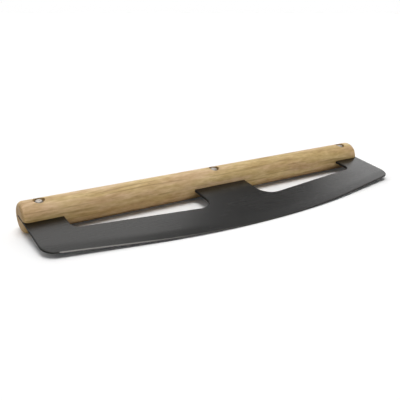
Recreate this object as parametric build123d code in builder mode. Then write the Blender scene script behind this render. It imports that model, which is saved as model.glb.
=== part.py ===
from build123d import *
from math import asin, atan2, cos, hypot, isclose, sin, sqrt
import os

# A rocking pizza knife: one steel blade with three tangs, held in slots in a round
# wooden bar by three two-part cutlery rivets. It lies on its side, resting on the bar
# and on the middle of the cutting edge. Millimetres, +X along the bar, +Z up.

# Wooden bar
handle_length = 406
handle_diameter = 29
handle_end_radius = 5

# Blade sheet and its cutting edge, measured out from the axis of the bar
blade_thickness = 2.5
blade_end_inset = 0.3
edge_reach = 95
edge_arc_radius = 600
edge_arc_width = 240
corner_radius = 15

# Tangs, and the depth of the finger gaps between them in front of the bar
end_tang_width = 35
middle_tang_width = 62
tang_depth = 8
tang_corner_radius = 2
gap_depth_at_ends = 21.8
gap_depth_at_middle = 38.3
end_root_radius = 8
middle_root_radius = 15

# Ground strip and fine bevel along the cutting edge
grind_width = 11
bevel_width = 1.2
bevel_shoulder_thickness = 1.3
edge_thickness = 0.3

# Cutlery rivets and the recesses that their heads sit in
rivet_head_diameter = 8.8
rivet_top_diameter = 5.6
rivet_rim_height = 0.6
rivet_crown_height = 1.9
rivet_sleeve_diameter = 6
rivet_sleeve_bore = 4
rivet_lead_chamfer = 0.4
recess_diameter = 10.4
recess_depth = 3.4

# Clearances
slot_clearance = 0.1
bore_clearance = 0.1
pin_clearance = 0.05
rivet_end_gap = 0.5
cut_overrun = 5

# Places worked out from the sizes above
handle_radius = handle_diameter / 2
half_thickness = blade_thickness / 2
half_edge = edge_thickness / 2
blade_half_width = handle_length / 2 - blade_end_inset
end_tang_inner = blade_half_width - end_tang_width
end_rivet_offset = blade_half_width - end_tang_width / 2
middle_tang_edge = middle_tang_width / 2
back_reach_at_ends = handle_radius + gap_depth_at_ends
back_reach_at_middle = handle_radius + gap_depth_at_middle
rivet_seat_height = handle_radius - recess_depth
rivet_bore_radius = rivet_sleeve_diameter / 2 + bore_clearance
rivet_head_radius = rivet_head_diameter / 2
rivet_rim_top = rivet_seat_height + rivet_rim_height
rivet_crown_top = rivet_rim_top + rivet_crown_height
rivet_shank_end = rivet_end_gap - rivet_seat_height
rivets = {"left": -end_rivet_offset, "middle": 0, "right": end_rivet_offset}

# The cutting edge is an arc in the middle and runs straight on towards both ends
arc_edge = edge_arc_width / 2
arc_centre_reach = edge_reach - edge_arc_radius
arc_end_reach = arc_centre_reach + sqrt(edge_arc_radius**2 - arc_edge**2)
edge_slope = arc_edge / (arc_end_reach - arc_centre_reach)

# The blade leans until its edge, or the shoulder of a ground face, touches the table
def lean(reach, depth):
    """The lean that brings a point this far from the bar, this deep, to the table."""
    return asin(handle_radius / hypot(reach, depth)) - atan2(depth, reach)


tilt = min(
    lean(edge_reach, half_edge),
    lean(edge_reach - bevel_width, bevel_shoulder_thickness / 2),
    lean(edge_reach - grind_width, half_thickness),
)

# The origin lies on the table, midway between the back of the bar and the cutting edge
edge_front = edge_reach * cos(tilt) + half_edge * sin(tilt)
bar_centre = Vector(0, (edge_front - handle_radius) / 2, handle_radius)
bar_plane = Plane(origin=bar_centre, x_dir=(0, 1, 0), z_dir=(1, 0, 0))
blade_plane = Plane(origin=bar_centre, x_dir=(1, 0, 0), z_dir=(0, -sin(tilt), cos(tilt)))


def straight_edge_point(x):
    """The point at x on the straight right end of the cutting edge."""
    return (x, edge_slope * (x - arc_edge) - arc_end_reach)


def mirrored_corners(outline, x, y):
    """The corners of the outline at height y, x to the left and right of its middle."""
    return outline.vertices().filter_by(lambda v: isclose(abs(v.X), x) and isclose(v.Y, y))


def rivet_plane(place, side):
    """A plane on the bar's axis, square to a rivet, facing up (1) or down (-1)."""
    origin = blade_plane.from_local_coords(Vector(place, 0, 0))
    return Plane(origin=origin, x_dir=blade_plane.x_dir, z_dir=blade_plane.z_dir * side)


def rivet_section_plane(place, side):
    """A plane through a rivet's axis: x runs out from the axis, y towards the head."""
    facing = rivet_plane(place, side)
    return Plane(origin=facing.origin, x_dir=facing.x_dir, z_dir=facing.x_dir.cross(facing.z_dir))


# Blade: the blank is drawn for one half and mirrored
with BuildPart() as blade:
    with BuildSketch(blade_plane) as blank:
        with BuildLine():
            Polyline(
                (0, tang_depth),
                (middle_tang_edge, tang_depth),
                (middle_tang_edge, -back_reach_at_middle),
                (end_tang_inner, -back_reach_at_ends),
                (end_tang_inner, tang_depth),
                (blade_half_width, tang_depth),
                straight_edge_point(blade_half_width),
                straight_edge_point(arc_edge),
            )
            RadiusArc((0, -edge_reach), straight_edge_point(arc_edge), -edge_arc_radius)
            Line((0, -edge_reach), (0, tang_depth))
        make_face()
        mirror(about=Plane.YZ)
        fillet(mirrored_corners(blank, middle_tang_edge, -back_reach_at_middle), middle_root_radius)
        fillet(mirrored_corners(blank, end_tang_inner, -back_reach_at_ends), end_root_radius)
        fillet(mirrored_corners(blank, *straight_edge_point(blade_half_width)), corner_radius)
        fillet(blank.vertices().filter_by(lambda v: isclose(v.Y, tang_depth)), tang_corner_radius)
    extrude(amount=half_thickness, both=True)

    # Both faces are ground along the whole edge: a wide strip, then the fine bevel
    with BuildLine(blade_plane) as edge_path:
        right_end = straight_edge_point(blade_half_width + cut_overrun)
        arc_end = straight_edge_point(arc_edge)
        Line((-right_end[0], right_end[1]), (-arc_end[0], arc_end[1]))
        RadiusArc((-arc_end[0], arc_end[1]), arc_end, -edge_arc_radius)
        Line(arc_end, right_end)
    along_edge = edge_path.line % 0
    ground_plane = Plane(
        origin=edge_path.line @ 0, x_dir=along_edge.cross(blade_plane.z_dir), z_dir=along_edge
    )
    with BuildSketch(ground_plane):
        with BuildLine():
            Polyline(
                (-grind_width, half_thickness),
                (-bevel_width, bevel_shoulder_thickness / 2),
                (0, half_edge),
                (cut_overrun, half_edge),
                (cut_overrun, half_thickness + cut_overrun),
                (-grind_width, half_thickness + cut_overrun),
                close=True,
            )
        make_face()
        mirror(about=Plane.XZ)
    sweep(path=edge_path.line, mode=Mode.SUBTRACT)

    # Rivet holes through the three tangs
    with BuildSketch(blade_plane):
        with Locations(*[(place, 0) for place in rivets.values()]):
            Circle(rivet_bore_radius)
    extrude(amount=half_thickness, both=True, mode=Mode.SUBTRACT)

# Handle: a round bar with rounded ends
with BuildPart() as handle:
    with BuildSketch(bar_plane):
        Circle(handle_radius)
    extrude(amount=handle_length / 2, both=True)
    fillet(handle.edges().filter_by(GeomType.CIRCLE), handle_end_radius)

    # Slots for the tangs: the outer two run out through the ends of the bar
    slot_front = handle_radius + cut_overrun
    slot_height = slot_front + tang_depth + slot_clearance
    end_slot_length = end_tang_width + slot_clearance + blade_end_inset + cut_overrun
    with BuildSketch(blade_plane):
        with Locations((0, -slot_front)):
            Rectangle(
                middle_tang_width + 2 * slot_clearance, slot_height, align=(Align.CENTER, Align.MIN)
            )
        with Locations((end_tang_inner - slot_clearance, -slot_front)):
            Rectangle(end_slot_length, slot_height, align=(Align.MIN, Align.MIN))
        with Locations((slot_clearance - end_tang_inner, -slot_front)):
            Rectangle(end_slot_length, slot_height, align=(Align.MAX, Align.MIN))
    extrude(amount=half_thickness + slot_clearance, both=True, mode=Mode.SUBTRACT)

    # A hole for each rivet, with a recess for its head at the top and at the bottom
    for place in rivets.values():
        for side in (1, -1):
            with Locations(rivet_plane(place, side).offset(handle_radius).location):
                CounterBoreHole(rivet_bore_radius, recess_diameter / 2, recess_depth, handle_radius)


def draw_rivet_head():
    """Half of a rivet head with a broad bevel, from its seat on the bar up to its flat top."""
    Polyline(
        (rivet_head_radius, rivet_seat_height),
        (rivet_head_radius, rivet_rim_top),
        (rivet_top_diameter / 2, rivet_crown_top),
        (0, rivet_crown_top),
    )


def rivet_sleeve(place):
    """The hollow half of a rivet, put in from the top: a head and a long tube."""
    outer = rivet_sleeve_diameter / 2
    inner = rivet_sleeve_bore / 2
    section_plane = rivet_section_plane(place, 1)
    with BuildPart() as sleeve:
        with BuildSketch(section_plane):
            with BuildLine():
                draw_rivet_head()
                Polyline(
                    (0, rivet_crown_top),
                    (0, rivet_seat_height),
                    (inner, rivet_seat_height),
                    (inner, rivet_shank_end),
                    (outer - rivet_lead_chamfer, rivet_shank_end),
                    (outer, rivet_shank_end + rivet_lead_chamfer),
                    (outer, rivet_seat_height),
                    (rivet_head_radius, rivet_seat_height),
                )
            make_face()
        revolve(axis=Axis(section_plane.origin, section_plane.y_dir))
    return sleeve


def rivet_pin(place):
    """The solid half of a rivet, pressed into the sleeve from below."""
    outer = rivet_sleeve_bore / 2 - pin_clearance
    section_plane = rivet_section_plane(place, -1)
    with BuildPart() as pin:
        with BuildSketch(section_plane):
            with BuildLine():
                draw_rivet_head()
                Polyline(
                    (0, rivet_crown_top),
                    (0, rivet_shank_end),
                    (outer - rivet_lead_chamfer, rivet_shank_end),
                    (outer, rivet_shank_end + rivet_lead_chamfer),
                    (outer, rivet_seat_height),
                    (rivet_head_radius, rivet_seat_height),
                )
            make_face()
        revolve(axis=Axis(section_plane.origin, section_plane.y_dir))
    return pin


pieces = {"blade": blade, "handle": handle}
for side_name, rivet_place in rivets.items():
    pieces[side_name + "_rivet_sleeve"] = rivet_sleeve(rivet_place)
    pieces[side_name + "_rivet_pin"] = rivet_pin(rivet_place)

os.makedirs("parts", exist_ok=True)
for name, piece in pieces.items():
    piece.part.label = name
    export_step(piece.part, "parts/" + name + ".step")
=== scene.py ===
import math

import bmesh
import bpy
from bpy.props import FloatProperty, FloatVectorProperty, IntProperty, PointerProperty
from mathutils import Matrix, Vector
from mathutils.geometry import delaunay_2d_cdt


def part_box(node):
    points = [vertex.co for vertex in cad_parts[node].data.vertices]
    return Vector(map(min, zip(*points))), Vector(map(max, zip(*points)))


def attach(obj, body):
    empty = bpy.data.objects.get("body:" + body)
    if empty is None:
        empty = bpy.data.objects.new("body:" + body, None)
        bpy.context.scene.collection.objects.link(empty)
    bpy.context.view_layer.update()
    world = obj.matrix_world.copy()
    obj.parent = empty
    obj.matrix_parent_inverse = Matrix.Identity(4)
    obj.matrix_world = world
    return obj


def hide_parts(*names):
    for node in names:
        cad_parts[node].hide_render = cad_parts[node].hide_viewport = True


bl_info = {
    "name": "Rocking pizza knife",
    "version": (1, 0, 0),
    "blender": (4, 5, 0),
    "location": "3D View > Sidebar > Knife",
    "description": "Makes the blade, bar, rivets and studio of a rocking pizza knife",
    "category": "Object",
}

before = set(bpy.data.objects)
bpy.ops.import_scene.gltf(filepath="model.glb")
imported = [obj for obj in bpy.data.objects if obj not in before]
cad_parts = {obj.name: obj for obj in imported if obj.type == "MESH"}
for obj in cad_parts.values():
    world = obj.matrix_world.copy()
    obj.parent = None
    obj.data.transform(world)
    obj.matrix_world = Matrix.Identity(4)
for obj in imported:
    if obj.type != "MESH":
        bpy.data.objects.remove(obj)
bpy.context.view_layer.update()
bar_low, bar_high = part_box("handle")
blade_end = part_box("blade")[1].x
bar_centre = (bar_low + bar_high) / 2
bar_radius = (bar_high.z - bar_low.z) / 2

# How finely curves and rounded edges are drawn
arc_steps = 36
straight_end_steps = 12
longest_side = 0.006
hole_sides = 32
fade_steps = 4
ease_steps = 4
rivet_shoulder_steps = 4
stage_sides = 96
shading_break = math.radians(25)

# How far lines for the triangles run past the blade's end and past the ground strip, as
# shares, and the kind of result that has only the triangles inside the lines
past_end = 1.02
past_grind = 1.4
inside_only = 1

# Points this near to each other are one, a face this small is none, and a
# point this near to a line across the blade lies on it
merge_distance = 1e-7
blade_merge_distance = 2e-7
least_face = 1e-12
on_line = 2e-5

# Between these lie most values of a noise
usual_low, usual_high = 0.3, 0.7

# Noises of the steel, in clouds to the metre along X, Y and Z
face_scratches = (40, 5000, 5000)
bevel_scratches = (4000, 300, 300)
steel_clouds = (22, 30, 30)
steel_specks = (1500, 1500, 1500)
blank_pits = (900, 900, 900)
rivet_clouds = (420, 420, 420)
rivet_rings = (9000, 0, 0)

# The same for the wood, with the noise's detail and roughness and its share of the tone
wood_tones = {
    "broad": ((11, 55, 55), 2.0, 0.5, 0.08),
    "streak": ((40, 185, 185), 4.0, 0.55, 0.28),
    "fibre": ((110, 2600, 2600), 2.0, 0.6, 0.04),
    "mark": ((130, 420, 420), 2.0, 0.5, 0.22),
    "line": ((6, 150, 150), 2.0, 0.5, 0.38),
}
dark_tone, middle_tone, light_tone = 0.32, 0.48, 0.65
wood_wander = (9, 20, 20)
wander_reach = (0, 0.006, 0.006)
wood_veins = (13, 300, 300)
wood_hues = (16, 90, 90)
wood_flecks = (170, 1500, 1500)
saw_marks = (60, 1600, 1600)
pith_place = Vector((0, 0.4, -1.3))

# Each lamp's azimuth, with 0 behind the knife and 90 to its right, its height and its
# spread, in degrees
lamp_places = {
    "top": (41.5, 87.5, 33.5),
    "back": (7.1, 25.8, 53.8),
    "back_right": (57.3, 22.3, 14.7),
    "right": (73.7, 57.6, 65.5),
    "front": (175.7, 3.9, 27.0),
    "left": (288.4, 32.8, 71.2),
}
white = (1.0, 1.0, 1.0)

camera_place = (-0.310122, -0.420788, 0.189783)
camera_pitch = math.radians(70.4190)
camera_heading = math.radians(-32.5717)
sensor_width = 36


def length(name, description, default):
    """A size in metres that the panel shows in the scene's unit."""
    return FloatProperty(
        name=name, description=description, default=default, min=0, unit="LENGTH", precision=5
    )


def share(name, description, default):
    """A number from 0 to 1."""
    return FloatProperty(
        name=name, description=description, default=default, min=0, max=1, subtype="FACTOR"
    )


def colour(name, description, default):
    """A linear colour."""
    return FloatVectorProperty(
        name=name, description=description, default=default, size=3, min=0, max=1, subtype="COLOR"
    )


class KnifeBladeSettings(bpy.types.PropertyGroup):
    thickness: length("Thickness", "Thickness of the blade sheet", 0.0025)
    half_width: length("Half width", "From the middle to the blade's end", blade_end)
    edge_reach: length("Edge reach", "From the bar's axis to the cutting edge", 0.095)
    edge_radius: length("Edge radius", "Radius of the rocking edge", 0.6)
    edge_arc: length("Edge arc", "Half the width of the curved part of the edge", 0.12)
    corner_radius: length("Corner radius", "Rounding of the two outer corners", 0.015)
    end_tang: length("End tang", "Width of the tangs at the ends", 0.035)
    middle_tang: length("Middle tang", "Half the width of the tang in the middle", 0.031)
    tang_depth: length("Tang depth", "How far a tang runs in behind the bar's axis", 0.008)
    tang_radius: length("Tang corner", "Rounding of the tangs' corners", 0.002)
    reach_at_ends: length("Gap reach at ends", "From the axis to the gap's outer end", 0.0363)
    reach_at_middle: length("Gap reach at middle", "From the axis to the gap's deep end", 0.0528)
    end_root: length("End root", "Rounding at the root of an end tang", 0.008)
    middle_root: length("Middle root", "Rounding at the root of the middle tang", 0.015)
    hole_radius: length("Hole radius", "Radius of the rivet holes in the tangs", 0.0031)
    grind_start: length("Grind start", "Where the ground strip fades into the face", 0.014)
    grind_full: length("Grind full", "Where the ground strip has its full slope", 0.008)
    bevel_width: length("Bevel width", "Width of the fine bevel at the edge", 0.0012)
    shoulder: length("Bevel shoulder", "Blade thickness where the bevel starts", 0.0013)
    edge_thickness: length("Edge thickness", "Blade thickness at the cutting edge", 0.0002)
    eased_edge: length("Eased edge", "Rounding of the blanked edges", 0.00025)
    steel: colour("Steel", "Dark finish of the blade", (0.0404, 0.0396, 0.0384))
    worn_steel: colour("Worn steel", "Steel that shows where the finish is rubbed", (0.2, 0.19, 0.18))
    # Painted shade: the cut edges' near-black colour keeps them dark where steel would mirror the lit
    # floor.
    cut_edge_shade: colour("Cut edge", "Matt finish of the blade's cut edges", (0.02, 0.019, 0.018))
    roughness: share("Roughness", "How dull the blade is", 0.26)
    bevel_steel: colour("Bevel steel", "Ground steel of the fine bevel", (0.063, 0.061, 0.058))
    bevel_roughness: share("Bevel roughness", "How dull the fine bevel is", 0.34)


class KnifeBarSettings(bpy.types.PropertyGroup):
    light_wood: colour("Light wood", "Palest tone of the wood", (0.81, 0.64, 0.39))
    middle_wood: colour("Middle wood", "Main tone of the wood", (0.575, 0.412, 0.207))
    dark_wood: colour("Dark wood", "Darkest streaks of the wood", (0.33, 0.198, 0.074))
    pore_wood: colour("Pores", "Pores and flecks", (0.12, 0.07, 0.03))
    yellow_cast: colour("Yellow cast", "Tint of the wood's yellower parts", (1.0, 1.0, 0.9))
    rosy_cast: colour("Rosy cast", "Tint of the wood's redder parts", (1.0, 0.94, 1.0))
    end_wood: colour("End grain", "Tone of the end grain", (0.46, 0.31, 0.155))
    ring_spacing: length("Ring spacing", "Width of one year's growth in the end grain", 0.0017)
    roughness: share("Roughness", "How dull the oiled wood is", 0.55)


class KnifeRivetSettings(bpy.types.PropertyGroup):
    head_radius: length("Head radius", "Radius of a rivet head", 0.0044)
    seat_height: length("Seat height", "From the bar's axis to the recess floor", 0.0111)
    top_radius: length("Top radius", "Radius of a head's flat top", 0.0028)
    rim_height: length("Rim height", "Height of a head's rim", 0.0006)
    crown_height: length("Crown height", "Height of a head above its rim", 0.0019)
    eased_top: length("Eased top", "Rounding between a head's bevel and its top", 0.0012)
    sleeve_radius: length("Sleeve radius", "Outer radius of the sleeve", 0.003)
    bore_radius: length("Bore radius", "Radius of the sleeve's bore", 0.002)
    pin_radius: length("Pin radius", "Radius of the pin", 0.00195)
    end_gap: length("End gap", "Free space at the end of a shank", 0.0005)
    lead_chamfer: length("Lead chamfer", "Chamfer at the end of a shank", 0.0004)
    sides: IntProperty(name="Sides", description="Faces round a rivet", default=64, min=12)
    steel: colour("Steel", "Colour of the rivets", (0.42, 0.385, 0.345))
    roughness: share("Roughness", "How dull the rivets are", 0.55)


class KnifeStudioSettings(bpy.types.PropertyGroup):
    floor: colour("Floor", "Colour of the floor and backdrop", (0.965, 0.962, 0.959))
    bounce: colour("Bounce", "Floor colour that the diffuse light sees", (0.58, 0.55, 0.47))
    fill: share("Fill", "How light the deepest shadow on the floor looks", 0.02464)
    fill_tint: colour("Fill tint", "Tint of the deepest shadow", (0.7857, 0.8839, 1.0))
    room: FloatProperty(name="Room", description="Light from all sides", default=0.042, min=0)
    top: FloatProperty(name="Top lamp", description="Strength from above", default=1.765, min=0)
    back: FloatProperty(name="Back lamp", description="Strength from behind", default=1.093, min=0)
    back_right: FloatProperty(
        name="Back right lamp", description="Strength from behind on the right", default=0.108, min=0
    )
    right: FloatProperty(name="Right lamp", description="Strength from the right", default=0.559, min=0)
    front: FloatProperty(name="Front lamp", description="Strength from the front", default=0.970, min=0)
    left: FloatProperty(name="Left lamp", description="Strength from the left", default=0.689, min=0)
    front_tint: colour("Front tint", "Tint of the front lamp", (1.0, 0.95, 0.85))
    floor_radius: length("Floor radius", "How far the floor reaches", 14.0)
    wall_height: length("Wall height", "Height of the white wall round the floor", 3.0)
    lens: FloatProperty(name="Lens", description="Focal length", default=49.381, unit="CAMERA")


def feed(tree, node, feeds):
    """Links or sets a node's inputs."""
    for name, value in feeds.items():
        if isinstance(value, bpy.types.NodeSocket):
            tree.links.new(value, node.inputs[name])
        else:
            node.inputs[name].default_value = value


def add(tree, kind, feeds, **settings):
    """A new shader node with its settings and feeds."""
    node = tree.nodes.new("ShaderNode" + kind)
    for name, value in settings.items():
        setattr(node, name, value)
    feed(tree, node, feeds)
    return node


def maths(tree, operation, *values):
    """One sum of a material's numbers."""
    return add(tree, "Math", dict(enumerate(values)), operation=operation).outputs[0]


def total(tree, *parts):
    """The sum of values, each times its share."""
    shares = [maths(tree, "MULTIPLY", value, share) for value, share in parts]
    result = shares[0]
    for value in shares[1:]:
        result = maths(tree, "ADD", result, value)
    return result


def ease(tree, value, low, high, to_low=0.0, to_high=1.0):
    """The value's way from low to high, eased at both ends."""
    feeds = {"Value": value, "From Min": low, "From Max": high, "To Min": to_low, "To Max": to_high}
    return add(tree, "MapRange", feeds, interpolation_type="SMOOTHSTEP").outputs["Result"]


def vary(tree, value, to_low, to_high):
    """A noise's usual values, brought between two others."""
    return ease(tree, value, usual_low, usual_high, to_low, to_high)


def blend(tree, amount, base, over, way="MIX"):
    """Over on base, by that amount."""
    node = tree.nodes.new("ShaderNodeMix")
    node.data_type = "RGBA"
    node.blend_type = way
    feed(tree, node, {0: amount, 6: base, 7: over})
    return node.outputs[2]


def vectors(tree, operation, *values):
    """One sum of a material's coordinates."""
    return add(tree, "VectorMath", dict(enumerate(values)), operation=operation).outputs


def object_place(tree):
    """The place on the object, in its own coordinates."""
    return add(tree, "TexCoord", {}).outputs["Object"]


def noise(tree, place, clouds, detail=2.0, roughness=0.5):
    """Cloudy noise with that many clouds to the metre along each axis."""
    stretched = vectors(tree, "MULTIPLY", place, clouds)[0]
    feeds = {"Vector": stretched, "Scale": 1.0, "Detail": detail, "Roughness": roughness}
    return add(tree, "TexNoise", feeds).outputs["Fac"]


def bumped(tree, height, strength, depth, **feeds):
    """The normal of a surface with fine relief."""
    feeds.update({"Height": height, "Strength": strength, "Distance": depth})
    return add(tree, "Bump", feeds).outputs[0]


def opaque(value):
    """A colour with its alpha."""
    return (*value, 1.0)


def material(name):
    """An empty node material and its shader."""
    made = bpy.data.materials.new(name)
    made.use_nodes = True
    tree = made.node_tree
    tree.nodes.clear()
    shader = tree.nodes.new("ShaderNodeBsdfPrincipled")
    output = tree.nodes.new("ShaderNodeOutputMaterial")
    tree.links.new(shader.outputs[0], output.inputs["Surface"])
    return made, tree, shader


def edge_mask(tree, radius, low, high):
    """1 where a rounded edge of that radius would turn away from the face."""
    rounded = add(tree, "Bevel", {"Radius": radius}, samples=6).outputs[0]
    true = add(tree, "NewGeometry", {}).outputs["Normal"]
    facing = vectors(tree, "DOT_PRODUCT", rounded, true)["Value"]
    return ease(tree, maths(tree, "SUBTRACT", 1.0, facing), low, high), rounded


def blade_material(name, settings, base, roughness, scratches):
    """Dark satin steel with a lengthwise grain, clouds in its finish and rubbed edges."""
    made, tree, shader = material(name)
    place = object_place(tree)
    grain = noise(tree, place, scratches, detail=3.0, roughness=0.6)
    cloud = noise(tree, place, steel_clouds, detail=3.0, roughness=0.55)
    speck = noise(tree, place, steel_specks, detail=1.0)
    edge, rounded = edge_mask(tree, radius=0.00035, low=0.02, high=0.25)
    rubbed = ease(tree, cloud, low=0.35, high=0.65, to_low=0.15, to_high=0.8)
    worn = maths(tree, "MULTIPLY", edge, rubbed)
    tone = maths(tree, "MULTIPLY", vary(tree, cloud, 0.97, 1.03), vary(tree, grain, 0.98, 1.02))
    tinted = blend(tree, 1.0, opaque(base), tone, "MULTIPLY")
    dull = maths(tree, "ADD", vary(tree, cloud, -0.02, 0.02), vary(tree, grain, -0.015, 0.015))
    height = total(tree, (grain, 0.7), (speck, 0.3))
    feed(tree, shader, {
        "Base Color": blend(tree, worn, tinted, opaque(settings.worn_steel)),
        "Metallic": 1.0,
        "Roughness": maths(tree, "ADD", roughness, dull),
        "Normal": bumped(tree, height, strength=0.12, depth=0.00001, Normal=rounded),
    })
    return made


def shaded_cut_edge_material(settings):
    """Matt cut edges with fine pits, coloured near-black as painted shade so that they stay dark
    instead of mirroring the lit floor.
    """
    made, tree, shader = material("blade_cut_edge")
    pits = noise(tree, object_place(tree), blank_pits, detail=3.0, roughness=0.6)
    tone = vary(tree, pits, 0.7, 1.3)
    feed(tree, shader, {
        "Base Color": blend(tree, 1.0, opaque(settings.cut_edge_shade), tone, "MULTIPLY"),
        "Roughness": vary(tree, pits, 0.6, 0.75),
        "Specular IOR Level": 0.12,
        "Normal": bumped(tree, pits, strength=0.2, depth=0.00002),
    })
    return made


def toned_wood(tree, place, grain, settings):
    """The colour along the grain: tones and streaks, thin dark veins and a drifting hue."""
    tone = total(tree, *((grain[name], row[-1]) for name, row in wood_tones.items()))
    ramp = add(tree, "ValToRGB", {"Fac": tone})
    stops = ramp.color_ramp.elements
    stops[0].position, stops[0].color = dark_tone, opaque(settings.dark_wood)
    stops[1].position, stops[1].color = light_tone, opaque(settings.light_wood)
    stops.new(middle_tone).color = opaque(settings.middle_wood)
    veins = noise(tree, place, wood_veins, detail=3.0)
    vein = ease(tree, veins, low=0.55, high=0.68, to_high=0.6)
    hue = ease(tree, noise(tree, place, wood_hues), low=0.35, high=0.65)
    cast = blend(tree, hue, opaque(settings.yellow_cast), opaque(settings.rosy_cast))
    streaked = blend(tree, vein, ramp.outputs["Color"], opaque(settings.dark_wood))
    return blend(tree, 1.0, streaked, cast, "MULTIPLY")


def end_grain(tree, place, bent, settings):
    """The colour of the bar's ends: yearly rings and the marks of the saw."""
    pith = Vector((0, bar_centre.y, bar_centre.z)) + pith_place * bar_radius
    from_pith = vectors(tree, "ADD", bent, -pith)[0]
    reach = vectors(tree, "LENGTH", vectors(tree, "MULTIPLY", from_pith, (0, 1, 1))[0])["Value"]
    turns = maths(tree, "MULTIPLY", reach, 2 * math.pi / settings.ring_spacing)
    rings = ease(tree, maths(tree, "SINE", turns), low=-0.6, high=1.0, to_high=0.6)
    sawn = noise(tree, place, saw_marks, detail=3.0, roughness=0.7)
    dark = maths(tree, "ADD", rings, ease(tree, sawn, low=0.35, high=0.7, to_high=0.5))
    return blend(tree, dark, opaque(settings.end_wood), opaque(settings.dark_wood))


def wood_material(settings):
    """Oiled hardwood: long streaks, fine fibres, pores and flecks, and end grain at both ends."""
    made, tree, shader = material("handle_wood_grain")
    place = object_place(tree)
    wide = vectors(tree, "MULTIPLY", place, wood_wander)[0]
    wander = add(tree, "TexNoise", {"Vector": wide, "Scale": 1.0}).outputs["Color"]
    bent = vectors(tree, "ADD", place, vectors(tree, "MULTIPLY", wander, wander_reach)[0])[0]
    grain = {
        name: noise(tree, bent, clouds, detail, roughness)
        for name, (clouds, detail, roughness, _) in wood_tones.items()
    }
    fleck = ease(tree, noise(tree, bent, wood_flecks, detail=1.0), low=0.66, high=0.78)
    shown = ease(tree, grain["streak"], low=0.35, high=0.6, to_low=0.5, to_high=0.1)
    pores = maths(tree, "MULTIPLY", fleck, shown)
    face = blend(tree, pores, toned_wood(tree, bent, grain, settings), opaque(settings.pore_wood))
    normal = add(tree, "NewGeometry", {}).outputs["Normal"]
    along = maths(tree, "ABSOLUTE", add(tree, "SeparateXYZ", {0: normal}).outputs["X"])
    end = ease(tree, along, low=0.55, high=0.95, to_high=0.8)
    body = blend(tree, end, face, end_grain(tree, place, bent, settings))
    edge, rounded = edge_mask(tree, radius=0.0005, low=0.01, high=0.3)
    worn = maths(tree, "MULTIPLY", edge, 0.35)
    height = maths(tree, "SUBTRACT", maths(tree, "MULTIPLY", grain["fibre"], 0.5), pores)
    dull = vary(tree, grain["streak"], 0.06, -0.06)
    feed(tree, shader, {
        "Base Color": blend(tree, worn, body, opaque(settings.pore_wood)),
        "Roughness": maths(tree, "ADD", settings.roughness, dull),
        "Specular IOR Level": 0.22,
        "Normal": bumped(tree, height, strength=0.35, depth=0.00012, Normal=rounded),
    })
    return made


def rivet_material(settings):
    """Bright turned steel with fine rings and a little tarnish."""
    made, tree, shader = material("rivet_turned_steel")
    place = object_place(tree)
    reach = vectors(tree, "LENGTH", vectors(tree, "MULTIPLY", place, (1, 1, 0))[0])["Value"]
    rings = noise(tree, add(tree, "CombineXYZ", {"X": reach}).outputs[0], rivet_rings)
    cloud = noise(tree, place, rivet_clouds, detail=3.0, roughness=0.6)
    edge, rounded = edge_mask(tree, radius=0.0002, low=0.02, high=0.3)
    tone = maths(tree, "ADD", vary(tree, cloud, 0.78, 1.08), maths(tree, "MULTIPLY", edge, 0.2))
    dull = vary(tree, rings, -0.04, 0.06)
    feed(tree, shader, {
        "Base Color": blend(tree, 1.0, opaque(settings.steel), tone, "MULTIPLY"),
        "Metallic": 1.0,
        "Roughness": maths(tree, "ADD", settings.roughness, dull),
        "Normal": bumped(tree, rings, strength=0.15, depth=0.00001, Normal=rounded),
    })
    return made


def rest_lean(blade):
    """The blade's lean when the shoulder of its lower bevel rests on the table."""
    reach, depth = blade.edge_reach - blade.bevel_width, blade.shoulder / 2
    return math.asin(bar_radius / math.hypot(reach, depth)) - math.atan2(depth, reach)


def tang_matrix(blade, x, side=1):
    """A place on the bar's axis with Z square to the blade, upwards or downwards."""
    turn = Matrix.Rotation(rest_lean(blade), 4, "X")
    if side < 0:
        turn = turn @ Matrix.Rotation(math.pi, 4, "X")
    return Matrix.Translation((x, bar_centre.y, bar_centre.z)) @ turn


def rounded_corner(before, corner, after, radius, steps=10):
    """Points along the arc that rounds a corner."""
    back = (Vector(before) - Vector(corner)).normalized()
    on = (Vector(after) - Vector(corner)).normalized()
    half = back.angle(on) / 2
    centre = Vector(corner) + (back + on).normalized() * radius / math.sin(half)
    start = Vector(corner) + back * radius / math.tan(half) - centre
    turn = (math.pi - 2 * half) * (1 if back.cross(on) < 0 else -1)
    return [centre + Matrix.Rotation(turn * k / steps, 2) @ start for k in range(steps + 1)]


def half_outline(blade):
    """The blade's right half: along the edge, up the end tang and round the finger gap."""
    half, slope = blade.half_width, math.asin(blade.edge_arc / blade.edge_radius)
    arc_middle = blade.edge_radius - blade.edge_reach
    edge = [
        Vector((math.sin(a), -math.cos(a))) * blade.edge_radius + Vector((0, arc_middle))
        for a in (slope * k / arc_steps for k in range(arc_steps + 1))
    ]
    outer = edge[-1] + Vector((1, math.tan(slope))) * (half - edge[-1].x)
    inner = half - blade.end_tang
    corners = [
        (outer, blade.corner_radius),
        (Vector((half, blade.tang_depth)), blade.tang_radius),
        (Vector((inner, blade.tang_depth)), blade.tang_radius),
        (Vector((inner, -blade.reach_at_ends)), blade.end_root),
        (Vector((blade.middle_tang, -blade.reach_at_middle)), blade.middle_root),
        (Vector((blade.middle_tang, blade.tang_depth)), blade.tang_radius),
    ]
    line = [edge[-1], *(c for c, _ in corners), Vector((0, blade.tang_depth))]
    points = list(edge)
    for k, (corner, radius) in enumerate(corners):
        points += rounded_corner(line[k], corner, line[k + 2], radius)
    return points


def spaced(points, gap):
    """The closed line's points with more of them on its long sides."""
    result = []
    for a, b in zip(points, points[1:] + points[:1]):
        parts = max(1, math.ceil((b - a).length / gap))
        result += [a.lerp(b, k / parts) for k in range(parts)]
    return result


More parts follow.
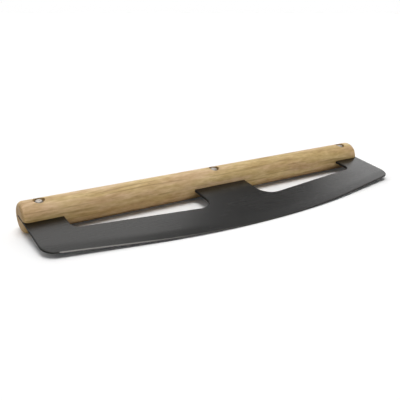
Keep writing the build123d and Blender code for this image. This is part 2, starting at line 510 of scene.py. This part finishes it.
def edge_distance(blade, x, y):
    """How far a point of the blade's plane lies in from the cutting edge."""
    slope = math.asin(blade.edge_arc / blade.edge_radius)
    out = Vector((abs(x), blade.edge_radius - blade.edge_reach - y))
    if math.atan2(out.x, out.y) < slope:
        return blade.edge_radius - out.length
    return blade.edge_radius - out.dot(Vector((math.sin(slope), math.cos(slope))))


def half_thickness(blade, distance):
    """Half the blade's thickness at that distance from the edge."""
    edge, shoulder, full = blade.edge_thickness / 2, blade.shoulder / 2, blade.thickness / 2
    if distance <= blade.bevel_width:
        return edge + (shoulder - edge) * max(distance, 0) / blade.bevel_width
    fade = blade.grind_start - blade.grind_full
    slope = (full - shoulder) / (blade.grind_full - blade.bevel_width + fade / 2)
    left = max(0.0, blade.grind_start - distance)
    if left < fade:
        return full - slope * left**2 / fade / 2
    return full - slope * (left - fade / 2)


def ground_line(blade, distance):
    """A line along the blade at that distance from the cutting edge."""
    slope, radius = math.asin(blade.edge_arc / blade.edge_radius), blade.edge_radius - distance
    middle = Vector((0, blade.edge_radius - blade.edge_reach))
    turns = [slope * k / arc_steps for k in range(-arc_steps, arc_steps + 1)]
    arc = [Vector((math.sin(a), -math.cos(a))) * radius + middle for a in turns]
    run = Vector((1, math.tan(slope))) * (blade.half_width * past_end - arc[-1].x)
    steps = range(1, straight_end_steps + 1)
    ends = [arc[-1] + run * k / straight_end_steps for k in steps]
    return [Vector((-p.x, p.y)) for p in reversed(ends)] + arc + ends


def corner_start(blade):
    """Where the straight end of the cutting edge meets the rounding of the outer corner."""
    slope = math.asin(blade.edge_arc / blade.edge_radius)
    back = blade.corner_radius / math.tan((math.pi / 2 + slope) / 2) * math.cos(slope)
    x = blade.half_width - back
    arc_end = blade.edge_radius * (1 - math.cos(slope)) - blade.edge_reach
    return Vector((x, arc_end + (x - blade.edge_arc) * math.tan(slope)))


def closed_edges(start, count):
    """Edges of a closed line of that many points."""
    return [(start + k, start + (k + 1) % count) for k in range(count)]


def eased_by(blade, distance):
    """How much of the blanked edge is rounded, none of it at the cutting edge."""
    way = min(1.0, max(0.0, distance - blade.bevel_width / 4) / (2 * blade.bevel_width))
    return blade.eased_edge * way


def corner_normal(before, here, after):
    """The outward normal of a line's corner, long enough for an even offset."""
    first, second = (here - before).normalized(), (after - here).normalized()
    one, two = Vector((first.y, -first.x)), Vector((second.y, -second.x))
    return (one + two) / (1 + one.dot(two))


def face_outline(blade):
    """The outline of the blade's faces, inside their eased edges."""
    right = half_outline(blade)
    left = [Vector((-p.x, p.y)) for p in reversed(right[1:])]
    outline = spaced(right + left, longest_side)
    before, after = outline[-1:] + outline[:-1], outline[1:] + outline[:1]
    return [
        here - corner_normal(last, here, following) * eased_by(blade, edge_distance(blade, *here))
        for last, here, following in zip(before, outline, after)
    ]


def hole_places():
    """Where the rivet holes lie along the bar."""
    sleeves = [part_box(name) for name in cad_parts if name.endswith("sleeve")]
    return [(low + high).x / 2 for low, high in sleeves]


def blade_lines(blade, outline, holes):
    """The points and edges that a face is cut along: outline, holes and ground lines."""
    points, edges = list(outline), closed_edges(0, len(outline))
    reach = blade.hole_radius + blade.eased_edge
    turns = [2 * math.pi * k / hole_sides for k in range(hole_sides)]
    for x in holes:
        edges += closed_edges(len(points), hole_sides)
        points += [Vector((x + reach * math.cos(a), reach * math.sin(a))) for a in turns]
    fade = blade.grind_start - blade.grind_full
    steps = range(fade_steps + 1)
    distances = [blade.bevel_width, blade.grind_full / 2]
    distances += [blade.grind_full + fade * k / fade_steps for k in steps]
    distances.append(blade.grind_start * past_grind)
    lines = [ground_line(blade, distance) for distance in distances]
    corner = corner_start(blade)
    for x in (corner.x, -corner.x):
        low, high = corner.y - blade.bevel_width, corner.y + 2 * blade.bevel_width
        lines.append([Vector((x, low)), Vector((x, high))])
    for line in lines:
        edges += [(len(points) + k, len(points) + k + 1) for k in range(len(line) - 1)]
        points += line
    return points, edges


def encloses(outline, place):
    """Whether a point lies inside a closed line."""
    inside = False
    for a, b in zip(outline, outline[1:] + outline[:1]):
        if (a.y > place.y) != (b.y > place.y):
            if place.x < a.x + (b.x - a.x) * (place.y - a.y) / (b.y - a.y):
                inside = not inside
    return inside


def face_triangles(blade):
    """The points of the blade's faces, and their triangles round the rivet holes."""
    outline, holes = face_outline(blade), hole_places()
    points, edges = blade_lines(blade, outline, holes)
    flat, _, triangles, *_ = delaunay_2d_cdt(points, edges, [], inside_only, merge_distance)
    kept = []
    for corners in triangles:
        a, b, c = (flat[k] for k in corners)
        size, middle = (b - a).cross(c - a), (a + b + c) / 3
        if size < 0:
            corners = corners[::-1]
        in_hole = any((middle - Vector((x, 0))).length < blade.hole_radius for x in holes)
        if abs(size) > least_face and not in_hole and encloses(outline, middle):
            kept.append(tuple(corners))
    return flat, kept


def blade_mesh(blade):
    """The blade's mesh: two faces with their ground strips and bevels, and eased edges."""
    flat, triangles = face_triangles(blade)
    depth = [edge_distance(blade, *p) for p in flat]
    used = {k for corners in triangles for k in corners}
    mesh = bmesh.new()
    layer = mesh.verts.layers.float.new("edge_distance")

    def vertex(place, height, distance):
        made = mesh.verts.new((place.x, place.y, height))
        made[layer] = distance
        return made

    upper = {k: vertex(flat[k], half_thickness(blade, depth[k]), depth[k]) for k in used}
    lower = {k: vertex(flat[k], -half_thickness(blade, depth[k]), depth[k]) for k in used}
    # The third finish is the near-black matt one: painted shade on the cut edges, the eased rims and
    # the bevel at the rounded corners.
    face_finish, bevel_finish, shaded_edge_finish = range(3)
    rounded_from = corner_start(blade).x
    for corners in triangles:
        finish = face_finish
        if sum(depth[k] for k in corners) / 3 < blade.bevel_width:
            in_corner = abs(sum(flat[k].x for k in corners)) / 3 > rounded_from
            finish = shaded_edge_finish if in_corner else bevel_finish
        mesh.faces.new([upper[k] for k in corners]).material_index = finish
        mesh.faces.new([lower[k] for k in reversed(corners)]).material_index = finish

    directed = {(a, b) for t in triangles for a, b in zip(t, t[1:] + t[:1])}
    after = {a: b for a, b in directed if (b, a) not in directed}
    before = {b: a for a, b in after.items()}
    quarter = [math.pi / 2 * step / ease_steps for step in range(1, ease_steps + 1)]
    rings = {}
    for k, following in after.items():
        outward = corner_normal(flat[before[k]], flat[k], flat[following])
        eased, face = eased_by(blade, depth[k]), half_thickness(blade, depth[k])
        rings[k] = [upper[k]]
        for side, turns in ((1, quarter), (-1, quarter[::-1])):
            for a in turns:
                place = flat[k] + outward * eased * math.sin(a)
                height = side * (face - eased * (1 - math.cos(a)))
                rings[k].append(vertex(place, height, depth[k]))
        rings[k].append(lower[k])
    for a, b in after.items():
        finish = bevel_finish if max(depth[a], depth[b]) < on_line else shaded_edge_finish
        for k in range(len(rings[a]) - 1):
            corners = (rings[a][k], rings[a][k + 1], rings[b][k + 1], rings[b][k])
            mesh.faces.new(corners).material_index = finish
    bmesh.ops.remove_doubles(mesh, verts=mesh.verts, dist=blade_merge_distance)
    bmesh.ops.dissolve_degenerate(mesh, edges=mesh.edges, dist=merge_distance)
    for edge in mesh.edges:
        reach = [v[layer] for v in edge.verts]
        edge.smooth = not all(abs(r - blade.bevel_width) < on_line or r < on_line for r in reach)
    for face in mesh.faces:
        face.smooth = True
    return mesh


def piece(name, mesh, matrix, materials, slot, *nodes):
    """A finished object that stands for these CAD nodes."""
    data = bpy.data.meshes.new(name)
    mesh.to_mesh(data)
    mesh.free()
    made = bpy.data.objects.new(name, data)
    for finish in materials:
        data.materials.append(finish)
    bpy.context.scene.collection.objects.link(made)
    made.matrix_world = matrix
    even = made.modifiers.new("Even faces", "WEIGHTED_NORMAL")
    even.keep_sharp = True
    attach(made, "root")
    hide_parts(*nodes)
    return made


class KNIFE_OT_blade(bpy.types.Operator):
    """Makes the blade with its tangs, ground strip and bevel"""

    bl_idname = "knife.blade"
    bl_label = "Blade"
    bl_options = {"REGISTER", "UNDO"}

    def execute(self, context):
        blade = context.scene.knife_blade
        face = blade_material(
            "blade_dark_steel", blade, blade.steel, blade.roughness, face_scratches
        )
        bevel = blade_material(
            "bevel_ground_steel", blade, blade.bevel_steel, blade.bevel_roughness, bevel_scratches
        )
        mesh = blade_mesh(blade)
        mesh.transform(tang_matrix(blade, 0))
        # The last finish paints the cut edges near-black as shade.
        finishes = (face, bevel, shaded_cut_edge_material(blade))
        piece("rocker_blade", mesh, Matrix.Identity(4), finishes, "blade_steel", "blade")
        return {"FINISHED"}


class KNIFE_OT_bar(bpy.types.Operator):
    """Gives the wooden bar its grain"""

    bl_idname = "knife.bar"
    bl_label = "Wooden bar"
    bl_options = {"REGISTER", "UNDO"}

    def execute(self, context):
        finish = wood_material(context.scene.knife_bar)
        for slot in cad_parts["handle"].material_slots:
            slot.material = finish
        return {"FINISHED"}


def head_profile(rivet):
    """A rivet head's outline: a low rim, a broad bevel and a flat top with a rounded shoulder."""
    rim = rivet.seat_height + rivet.rim_height
    top = rim + rivet.crown_height
    edge, corner, middle = (rivet.head_radius, rim), (rivet.top_radius, top), (0, top)
    shoulder = rounded_corner(edge, corner, middle, rivet.eased_top, rivet_shoulder_steps)
    return [(rivet.head_radius, rivet.seat_height), edge, *shoulder, middle]


def turned(profile, sides):
    """The mesh that a closed outline of (reach, height) points sweeps round the Z axis."""
    mesh = bmesh.new()
    line = [mesh.verts.new((reach, 0, height)) for reach, height in profile]
    edges = [mesh.edges.new(pair) for pair in zip(line, line[1:])]
    bmesh.ops.spin(mesh, geom=line + edges, axis=(0, 0, 1), angle=2 * math.pi, steps=sides)
    bmesh.ops.remove_doubles(mesh, verts=mesh.verts, dist=merge_distance)
    bmesh.ops.dissolve_degenerate(mesh, edges=mesh.edges, dist=merge_distance)
    bmesh.ops.recalc_face_normals(mesh, faces=mesh.faces)
    for edge in mesh.edges:
        edge.smooth = not edge.is_manifold or edge.calc_face_angle() < shading_break
    for face in mesh.faces:
        face.smooth = True
    return mesh


class KNIFE_OT_rivets(bpy.types.Operator):
    """Turns the sleeve and the pin of every rivet"""

    bl_idname = "knife.rivets"
    bl_label = "Rivets"
    bl_options = {"REGISTER", "UNDO"}

    def execute(self, context):
        rivet, blade = context.scene.knife_rivet, context.scene.knife_blade
        finish = rivet_material(rivet)
        end, lead = rivet.end_gap - rivet.seat_height, rivet.lead_chamfer
        sleeve = [
            *reversed(head_profile(rivet)),
            (rivet.sleeve_radius, rivet.seat_height),
            (rivet.sleeve_radius, end + lead),
            (rivet.sleeve_radius - lead, end),
            (rivet.bore_radius, end),
            (rivet.bore_radius, rivet.seat_height),
            (0, rivet.seat_height),
        ]
        pin = [
            *reversed(head_profile(rivet)),
            (rivet.pin_radius, rivet.seat_height),
            (rivet.pin_radius, end + lead),
            (rivet.pin_radius - lead, end),
            (0, end),
        ]
        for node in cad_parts:
            if "rivet" in node:
                low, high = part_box(node)
                up = node.endswith("sleeve")
                place = tang_matrix(blade, (low.x + high.x) / 2, 1 if up else -1)
                mesh = turned(sleeve if up else pin, rivet.sides)
                piece(node + "_turned", mesh, place, (finish,), "rivet_steel", node)
        return {"FINISHED"}


def sun(name, place, strength, tint):
    """A wide soft lamp far away."""
    azimuth, elevation, spread = (math.radians(angle) for angle in place)
    lamp = bpy.data.lights.new(name, "SUN")
    lamp.energy, lamp.angle, lamp.color = strength, spread, tint
    made = bpy.data.objects.new(name, lamp)
    across = math.cos(elevation)
    towards = Vector((math.sin(azimuth) * across, math.cos(azimuth) * across, math.sin(elevation)))
    made.rotation_euler = towards.to_track_quat("Z", "Y").to_euler()
    bpy.context.scene.collection.objects.link(made)


def in_view(tree):
    """1 where the camera, a reflection or clear glass looks at a surface."""
    path = add(tree, "LightPath", {}).outputs
    seen = maths(tree, "MAXIMUM", path["Is Camera Ray"], path["Is Glossy Ray"])
    return maths(tree, "MAXIMUM", seen, path["Is Transmission Ray"])


def stage(name, profile, finish):
    """A round part of the studio, which isn't part of the knife."""
    data = bpy.data.meshes.new(name)
    mesh = turned(profile, stage_sides)
    mesh.to_mesh(data)
    mesh.free()
    data.materials.append(finish)
    made = bpy.data.objects.new(name, data)
    bpy.context.scene.collection.objects.link(made)
    return made


class KNIFE_OT_studio(bpy.types.Operator):
    """Sets up the floor, the lamps and the camera"""

    bl_idname = "knife.studio"
    bl_label = "Studio"
    bl_options = {"REGISTER", "UNDO"}

    def execute(self, context):
        scene, studio = context.scene, context.scene.knife_studio
        paper, tree, shader = material("studio_paper")
        feed(tree, shader, {
            "Base Color": blend(tree, in_view(tree), opaque(studio.bounce), opaque(studio.floor)),
            "Roughness": 1.0,
            "Specular IOR Level": 0.0,
            "Emission Color": opaque(studio.fill_tint),
            "Emission Strength": maths(tree, "MULTIPLY", in_view(tree), studio.fill),
        })
        stage("studio_floor", [(0, 0), (studio.floor_radius, 0)], paper)
        screen, tree, shader = material("studio_screen")
        feed(tree, shader, {
            "Base Color": (0, 0, 0, 1),
            "Specular IOR Level": 0.0,
            "Emission Color": opaque(white),
            "Emission Strength": in_view(tree),
        })
        far = studio.floor_radius
        wall = stage("studio_wall", [(far, 0), (far, studio.wall_height)], screen)
        wall.visible_shadow = wall.visible_diffuse = False

        room = bpy.data.worlds.new("studio_room")
        room.use_nodes = True
        light = {"Color": opaque(white), "Strength": studio.room}
        feed(room.node_tree, room.node_tree.nodes["Background"], light)
        scene.world = room
        for name, place in lamp_places.items():
            tint = studio.front_tint if name == "front" else white
            sun(name + "_lamp", place, getattr(studio, name), tint)

        lens = bpy.data.cameras.new("photo_camera")
        lens.lens, lens.sensor_width = studio.lens, sensor_width
        camera = bpy.data.objects.new("photo_camera", lens)
        camera.location = camera_place
        camera.rotation_euler = (camera_pitch, 0, camera_heading)
        scene.collection.objects.link(camera)
        scene.camera = camera
        scene.view_settings.view_transform = "Standard"
        return {"FINISHED"}


class KNIFE_PT_maker(bpy.types.Panel):
    """Lists the knife's pieces and their sizes"""

    bl_idname = "KNIFE_PT_maker"
    bl_label = "Rocking pizza knife"
    bl_space_type = "VIEW_3D"
    bl_region_type = "UI"
    bl_category = "Knife"

    def draw(self, context):
        for group, operator in groups.items():
            box = self.layout.box()
            box.operator(operator.bl_idname)
            settings = getattr(context.scene, group)
            for name in settings.bl_rna.properties.keys():
                if name not in ("rna_type", "name"):
                    box.prop(settings, name)


groups = {
    "knife_blade": KNIFE_OT_blade,
    "knife_bar": KNIFE_OT_bar,
    "knife_rivet": KNIFE_OT_rivets,
    "knife_studio": KNIFE_OT_studio,
}
setting_types = {
    "knife_blade": KnifeBladeSettings,
    "knife_bar": KnifeBarSettings,
    "knife_rivet": KnifeRivetSettings,
    "knife_studio": KnifeStudioSettings,
}


def register():
    for group, settings in setting_types.items():
        bpy.utils.register_class(settings)
        bpy.utils.register_class(groups[group])
        setattr(bpy.types.Scene, group, PointerProperty(type=settings))
    bpy.utils.register_class(KNIFE_PT_maker)


def unregister():
    bpy.utils.unregister_class(KNIFE_PT_maker)
    for group, settings in setting_types.items():
        delattr(bpy.types.Scene, group)
        bpy.utils.unregister_class(groups[group])
        bpy.utils.unregister_class(settings)


def main():
    register()
    bpy.ops.knife.blade()
    bpy.ops.knife.bar()
    bpy.ops.knife.rivets()
    bpy.ops.knife.studio()


if __name__ == "__main__":
    main()
